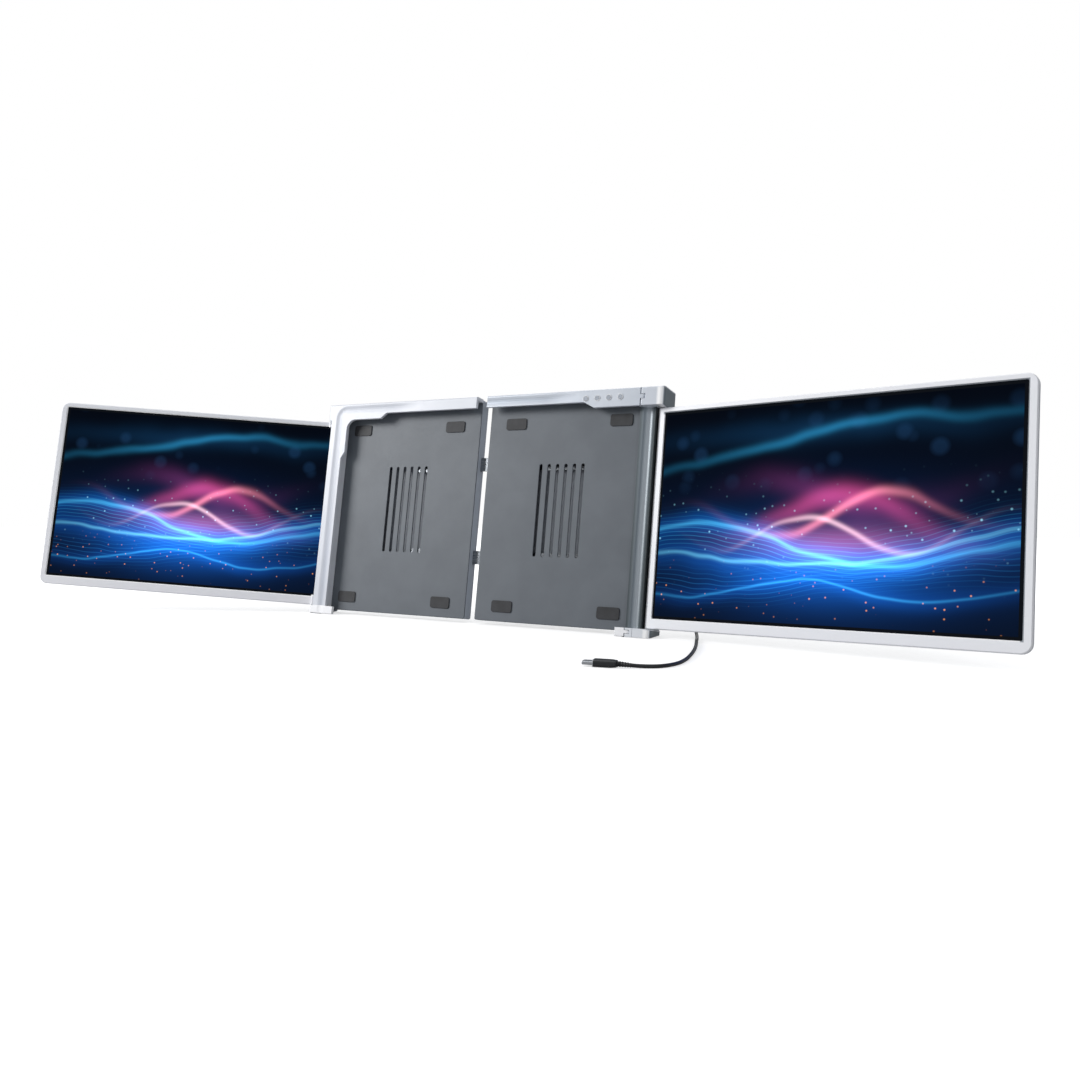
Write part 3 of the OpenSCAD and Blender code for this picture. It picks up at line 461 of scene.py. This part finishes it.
class Picture(Nodes):
    """Node tree of a lit picture whose lights add up, with x and z as shares of its width and height."""

    def __init__(self, name, place, seed):
        super().__init__(name)
        spot = display_plane(self, *place)
        self.x = self.math("DIVIDE", spot["X"], PIC_W)
        self.z = self.math("DIVIDE", spot["Z"], PIC_H)
        flat = self.node("ShaderNodeCombineXYZ")
        self.put(flat.inputs[0], spot["X"])
        self.put(flat.inputs[1], spot["Z"])
        flat.inputs[2].default_value = seed
        self.flat = flat.outputs[0]
        self.drift = self.math("SUBTRACT", self.noise(self.flat, 0.012, 2.0), 0.5)
        self.channels = [[], [], []]

    def times(self, *factors):
        product = factors[0]
        for f in factors[1:]:
            product = self.math("MULTIPLY", product, f)
        return product

    def bell(self, v, centre, width):
        d = self.math("DIVIDE", self.math("SUBTRACT", v, centre), width)
        return self.math("POWER", math.e, self.times(d, d, -1.0))

    def wave(self, level, swing, rate, phase, tilt):
        s = self.math("SINE", self.math("MULTIPLY_ADD", self.x, rate, phase))
        w = self.math("MULTIPLY_ADD", s, swing, level)
        w = self.math("MULTIPLY_ADD", self.x, tilt, w)
        return self.math("MULTIPLY_ADD", self.drift, 0.12, w)

    def cells(self, scale, randomness=1.0):
        """Distance to the nearest of scattered points."""
        cells = self.node("ShaderNodeTexVoronoi", feature="F1")
        self.put(cells.inputs["Vector"], self.flat)
        cells.inputs["Scale"].default_value = scale
        cells.inputs["Randomness"].default_value = randomness
        return cells.outputs["Distance"]

    def light(self, amount, colour):
        for channel, v in zip(self.channels, srgb(colour)):
            channel.append(self.math("MULTIPLY", amount, v))

    def sum(self):
        """The lights' colour, black outside the lit field."""
        rgb = self.node("ShaderNodeCombineColor")
        for socket, terms in zip(rgb.inputs, self.channels):
            total = terms[0]
            for t in terms[1:]:
                total = self.math("ADD", total, t)
            self.put(socket, total)
        inside = self.times(self.math("GREATER_THAN", self.x, 0.004), self.math("LESS_THAN", self.x, 0.996),
                            self.math("GREATER_THAN", self.z, 0.006), self.math("LESS_THAN", self.z, 0.994))
        return self.mix(inside, (0.004, 0.005, 0.007), rgb.outputs[0])


def screen(name, place, seed):
    """Lit picture under satin glass: generic drifting light ribbons, in mm in the picture's own plane."""
    n = Picture(name, place, seed)
    x, z = n.x, n.z
    side = n.math("MULTIPLY_ADD", n.bell(x, 0.5, 0.30), 0.78, 0.22)
    # night-blue ground, lighter low down
    n.light(n.math("MULTIPLY_ADD", n.math("SUBTRACT", 1.0, z), 0.5, 0.35), "#07101F")
    n.light(n.times(n.bell(z, 0.30, 0.26), side), "#0A2A5C")
    n.light(n.times(n.bell(z, 0.24, 0.13), n.bell(x, 0.52, 0.26)), "#0D55B4")
    for *way, width, colour, gain in RIBBONS:
        n.light(n.times(n.bell(z, n.wave(*way), width), side, gain), colour)
    # hair-fine strings that follow a ribbon
    for *way, spread, pitch, colour, gain in STRINGS:
        off = n.math("SUBTRACT", z, n.wave(*way))
        line = n.math("POWER", n.math("MAXIMUM", n.math("SINE", n.times(off, pitch)), 0.0), 5.0)
        n.light(n.times(line, n.bell(off, 0.0, spread), side, gain), colour)
    # rose ribbons that gather near the middle
    middle = n.bell(x, 0.55, 0.20)
    for *way, width, colour, gain in ROSES:
        n.light(n.times(n.bell(z, n.wave(*way), width), middle, gain), colour)
    n.light(n.times(middle, n.bell(z, 0.36, 0.07), 0.35), "#FF7FB0")
    # soft discs, high and dim
    disc = n.math("SMOOTH_MIN", n.math("MULTIPLY_ADD", n.cells(0.045), -6.0, 2.0, True), 1.0, 0.1)
    n.light(n.times(n.math("MAXIMUM", disc, 0.0), n.bell(z, 0.80, 0.16), 0.5), "#16304E")
    for scale, small, height, spread, colour, gain in SPARKS:
        dot = n.math("MULTIPLY_ADD", n.cells(scale, 0.9), -small, 1.0, True)
        n.light(n.times(dot, n.bell(z, height, spread), gain), colour)
    lit = n.sum()
    fine = n.noise(n.flat, 3.0, 3.0)
    gloss = n.math("MULTIPLY_ADD", fine, 0.06, 0.30)
    p = n.principled((0.0012, 0.0014, 0.002), gloss, 0.0, n.bump(fine, 0.03, 0.02))
    n.put(p.inputs["Emission Color"], lit)
    p.inputs["Emission Strength"].default_value = 1.0
    p.inputs["Specular IOR Level"].default_value = 0.0
    return n.mat


# ---------------------------------------------------------------- materials on the CAD pieces
def dress(material, *names):
    for name in names:
        o = nodes[name]
        o.data.materials.clear()
        o.data.materials.append(material)
        for p in o.data.polygons:
            p.material_index = 0


LEFT_PLACE = (LEFT_AXIS, LEFT_TURN, -LEFT_PIC - PIC_W, LEFT_FRONT)
RIGHT_PLACE = (RIGHT_AXIS, -RIGHT_TURN, RIGHT_PIC, RIGHT_FRONT)
CLIP_WHITE = srgb("#FAFAFC")

# front
# the valley colours below are painted shade along the pressed valleys
dress(painted("white_shell", srgb("#DCDFE6"), srgb("#D5D8DF"), 0.34, clip=CLIP_WHITE,
              valley=(srgb("#B4B9C4"), VALLEY_X, -95.0, -65.0)), "left_front")
dress(painted("silver_shell", srgb("#CDD2DA"), srgb("#C6CCD5"), 0.32, metallic=0.2, clip=CLIP_WHITE,
              valley=(srgb("#A3ABB6"), -40.0, 68.0, 98.0)), "right_front")
# bezels: painted reflection darker at the top of the left one; painted highlight on the window slopes, with
# painted shade above and right on the right one
dress(bezel_paint("left_bezel_paint", *LEFT_PLACE, srgb("#E7E9EE"), srgb("#F4F4F8"), srgb("#FFFFFF"),
                  srgb("#FFFFFF")), "left_bezel")
dress(bezel_paint("right_bezel_paint", *RIGHT_PLACE, srgb("#EDEEF2"), srgb("#EDEEF2"), srgb("#F6F6F8"),
                  srgb("#8D9298")), "right_bezel")
# foot and cap: painted highlight round the front right edge, painted shade on the right side
dress(cap_painted_light("silver_foot_painted_light", srgb("#E2E5EA"), srgb("#DADEE4"), 175.0, 4.4), "spine_foot")
dress(cap_painted_light("silver_cap_painted_light", srgb("#D4D8E0"), srgb("#CCD1D9"), 173.5, 199.6), "spine_cap")
dress(column_painted_shading(), "spine_column")
dress(painted("spine_paint", srgb("#A9B0B8"), srgb("#8F979F"), 0.34, metallic=0.4), "spine_guard")
# the hinge barrel's near-white is partly its own colour and partly a painted highlight along the knuckle
dress(painted("barrel_white_paint_and_highlight", srgb("#FBFBFD"), srgb("#F6F7F9"), 0.5), "hinge_barrel")
dress(painted("ring_metal", srgb("#F6F7F9"), srgb("#EEF0F3"), 0.22, metallic=0.2, edge=0.15), "button_rings")
dress(button_finish(), "button_1", "button_2", "button_3", "button_4")
dress(screen("left_picture", LEFT_PLACE, 3.0), "left_display")
dress(screen("right_picture", RIGHT_PLACE, 11.0), "right_display")
# shells, plates and rubber
dress(painted("grey_shell", srgb("#AAB0B9"), srgb("#A5ABB4"), 0.5, grain=0.25), "right_housing",
      "left_housing", "left_back_cover", "right_back_cover", "hub_case")
dress(painted("plate_paint", srgb("#60666D"), srgb("#5A6067"), 0.5, grain=0.3), "right_inner_panel",
      "left_inner_panel")
dress(rubbery("pad_rubber", srgb("#2B2C30"), srgb("#1E1F22")), "right_lid_pads", "left_lid_pads",
      "right_foot_pad", "left_foot_pad", "stand_foot")
# metal
dress(brushed("leg_metal", srgb("#C2C6CC"), srgb("#A5AAB1"), 2, 0.36, 0.6), "stand_leg")
dress(brushed("screw_zinc", srgb("#8E9297"), srgb("#6B6F74"), 0, 0.3, 0.9, 0.1), "right_housing_screws",
      "rail_screws", "left_housing_screws", "left_cover_screws", "spine_screws", "right_cover_screws")
dress(brushed("hinge_steel", srgb("#A6AAAF"), srgb("#85898E"), 0, 0.28, 0.9, 0.2), "stand_bracket",
      "stand_pin", "left_hinge_pins", "spine_pins", "barrel_pins", "steel_rails", "usb_port")
# inside
dress(rubbery("guide_plastic", srgb("#2A2C30"), srgb("#202226"), 0.4), "rail_guides")
dress(circuit("board_green"), "control_board", "hub_board", "left_driver_board", "right_driver_board")
dress(painted("diffuser_sheet", srgb("#EDEEEF"), srgb("#E0E2E4"), 0.45), "left_backlight", "right_backlight")
# cord
black = rubbery("cord_jacket", srgb("#1B1C1F"), srgb("#131417"), 0.45)
dress(black, "cord_plug")
cord.data.materials.append(black)


# ---------------------------------------------------------------- strain reliefs on both plugs
def deselect():
    if bpy.context.object and bpy.context.object.mode != "OBJECT":
        bpy.ops.object.mode_set(mode="OBJECT")
    bpy.ops.object.select_all(action="DESELECT")


def pick_verts(o, test):
    """In edit mode, select just the vertices whose place passes the test."""
    bpy.ops.mesh.select_mode(type="VERT")
    bpy.ops.mesh.select_all(action="DESELECT")
    bpy.ops.object.mode_set(mode="OBJECT")
    for v in o.data.vertices:
        v.select = test(v.co)
    bpy.ops.object.mode_set(mode="EDIT")


SAME_LEVEL = 2e-5


def strain_relief(name, line, out, length=0.009, wide=0.002, thin=0.0015, ribs=5):
    """Ribbed tapered sleeve along the first stretch of the cord's line, from the plug's back face."""
    deselect()
    bpy.ops.mesh.primitive_cylinder_add(vertices=24, radius=wide, depth=length, location=(0, 0, length / 2))
    o = bpy.context.active_object
    o.name = name
    bpy.ops.object.transform_apply(location=True, rotation=True, scale=True)
    bpy.ops.object.mode_set(mode="EDIT")
    bpy.ops.mesh.select_all(action="SELECT")
    # each rib is two levels at full width and two sunk ones between them
    levels = []
    for i in range(ribs):
        base = length * (i + 0.35) / (ribs + 0.35)
        levels += [(base, 1.0), (base + 0.0003, 0.86), (base + 0.0009, 0.84), (base + 0.0012, 0.97)]
    for z, _ in levels:
        bpy.ops.mesh.select_all(action="SELECT")
        bpy.ops.mesh.bisect(plane_co=(0, 0, z), plane_no=(0, 0, 1))
    for z, share in levels + [(length, 1.0)]:
        pick_verts(o, lambda c: abs(c.z - z) < SAME_LEVEL)
        r = (wide + (thin - wide) * z / length) * share
        bpy.ops.transform.resize(value=(r / wide, r / wide, 1), center_override=(0, 0, z))
    # lay each ring square on the cord's line
    reach = [0.0]
    for a, b in zip(line, line[1:]):
        reach.append(reach[-1] + (b - a).length)
    turn = out.to_track_quat("Z", "Y")
    bpy.ops.object.mode_set(mode="OBJECT")
    for z in sorted({0.0, length} | {z for z, _ in levels}):
        k = max(i for i, d in enumerate(reach) if d <= z + 1e-9)
        k = min(k, len(line) - 2)
        spot = line[k].lerp(line[k + 1], (z - reach[k]) / (reach[k + 1] - reach[k]))
        bpy.ops.object.mode_set(mode="EDIT")
        pick_verts(o, lambda c: abs(c.z - z) < SAME_LEVEL)
        shift = turn.inverted() @ (spot - line[0]) - Vector((0, 0, z))
        bpy.ops.transform.translate(value=(shift.x, shift.y, 0))
        bpy.ops.object.mode_set(mode="OBJECT")
    o.rotation_mode = "QUATERNION"
    o.rotation_quaternion = turn
    o.location = line[0]
    deselect()
    o.select_set(True)
    bpy.context.view_layer.objects.active = o
    bpy.ops.object.transform_apply(location=True, rotation=True, scale=True)
    bpy.ops.object.shade_smooth_by_angle(angle=math.radians(35))
    deselect()
    return o


def plug_finish():
    """Black moulded grip and a plated shell where the plug's tongue stands out of it."""
    n = Nodes("plug_finish")
    along = plane(n, row_mm(*TAIL), Matrix.Rotation(END_TURN, 4, "Z"))["X"]
    metal = n.math("GREATER_THAN", along, PLUG_SHELL)
    fine = n.noise(n.where(), 4.0, 4.0, 0.7)
    colour = n.mix(metal, n.mix(fine, srgb("#151618"), srgb("#222326")), srgb("#B9BCC0"))
    gloss = n.math("MULTIPLY_ADD", fine, 0.2, 0.3)
    p = n.principled(colour, gloss, 0.0, n.bump(fine, 0.2, 0.05, n.edge(0.3)))
    n.put(p.inputs["Metallic"], metal)
    return n.mat


dress(plug_finish(), "cord_end_plug")
plug_way = Vector((math.cos(END_TURN), math.sin(END_TURN), 0))
for sleeve in (strain_relief("cord_sleeve_hub", cord_line, Vector((1, 0, 0))),
               strain_relief("cord_sleeve_plug", cord_line[::-1], -plug_way)):
    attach(sleeve, "right_frame")
    sleeve.data.materials.append(black)


# ---------------------------------------------------------------- studio
def make_stage():
    """Pale floor that rises to white away from the part, and an even world."""
    bpy.ops.mesh.primitive_plane_add(size=8, location=(0, 0, -0.0001))
    floor = bpy.context.active_object
    floor.name = "floor"
    n = Nodes("floor_paint")
    at = n.where()
    soft = n.noise(at, 0.01, 2.0)
    paint = n.node("ShaderNodeBsdfDiffuse")
    n.put(paint.inputs["Color"], n.mix(soft, (0.52, 0.52, 0.525), (0.56, 0.56, 0.56)))
    far = n.node("ShaderNodeVectorMath", operation="LENGTH")
    n.put(far.inputs[0], at)
    glow = n.node("ShaderNodeEmission")
    rise = n.ramp(n.math("DIVIDE", far.outputs["Value"], 1000.0), [(0.35, 0.62), (0.8, 1.0)])
    seen = n.node("ShaderNodeLightPath").outputs["Is Camera Ray"]
    n.put(glow.inputs["Strength"], n.math("MULTIPLY", rise, seen))
    both = n.node("ShaderNodeAddShader")
    n.put(both.inputs[0], paint.outputs[0])
    n.put(both.inputs[1], glow.outputs[0])
    n.put(n.out.inputs["Surface"], both.outputs[0])
    floor.data.materials.append(n.mat)
    world = bpy.data.worlds.new("studio")
    bpy.context.scene.world = world
    world.use_nodes = True
    t = world.node_tree
    t.nodes.clear()
    out = t.nodes.new("ShaderNodeOutputWorld")
    seen = t.nodes.new("ShaderNodeBackground")
    seen.inputs["Color"].default_value = (1, 1, 1, 1)
    seen.inputs["Strength"].default_value = 1.0
    lit = t.nodes.new("ShaderNodeBackground")
    lit.inputs["Color"].default_value = (0.93, 0.96, 1.0, 1)
    lit.inputs["Strength"].default_value = 0.28
    path = t.nodes.new("ShaderNodeLightPath")
    mix = t.nodes.new("ShaderNodeMixShader")
    t.links.new(path.outputs["Is Camera Ray"], mix.inputs[0])
    t.links.new(lit.outputs[0], mix.inputs[1])
    t.links.new(seen.outputs[0], mix.inputs[2])
    t.links.new(mix.outputs[0], out.inputs[0])


def area(name, location, size, power, colour=(1, 1, 1), target=(0, 0, 0.1)):
    """Rectangular soft light that points at target, as a rule the middle of the part."""
    data = bpy.data.lights.new(name, "AREA")
    data.shape = "RECTANGLE"
    data.size, data.size_y = size
    data.energy = power
    data.color = colour
    o = bpy.data.objects.new(name, data)
    bpy.context.scene.collection.objects.link(o)
    o.location = location
    o.rotation_mode = "QUATERNION"
    o.rotation_quaternion = (Vector(target) - Vector(location)).to_track_quat("-Z", "Y")


make_stage()
area("key", (-2.05, -1.55, 1.25), (1.3, 1.1), 64)
area("edge", (1.9, -1.5, 0.9), (0.22, 1.4), 6, (0.97, 0.98, 1.0), (0.1, 0, 0.1))
area("top", (0, 0.3, 1.9), (2.2, 1.4), 15)
area("rear", (-0.5, 1.8, 1.1), (1.6, 0.9), 9)

bpy.context.scene.view_settings.view_transform = "Standard"
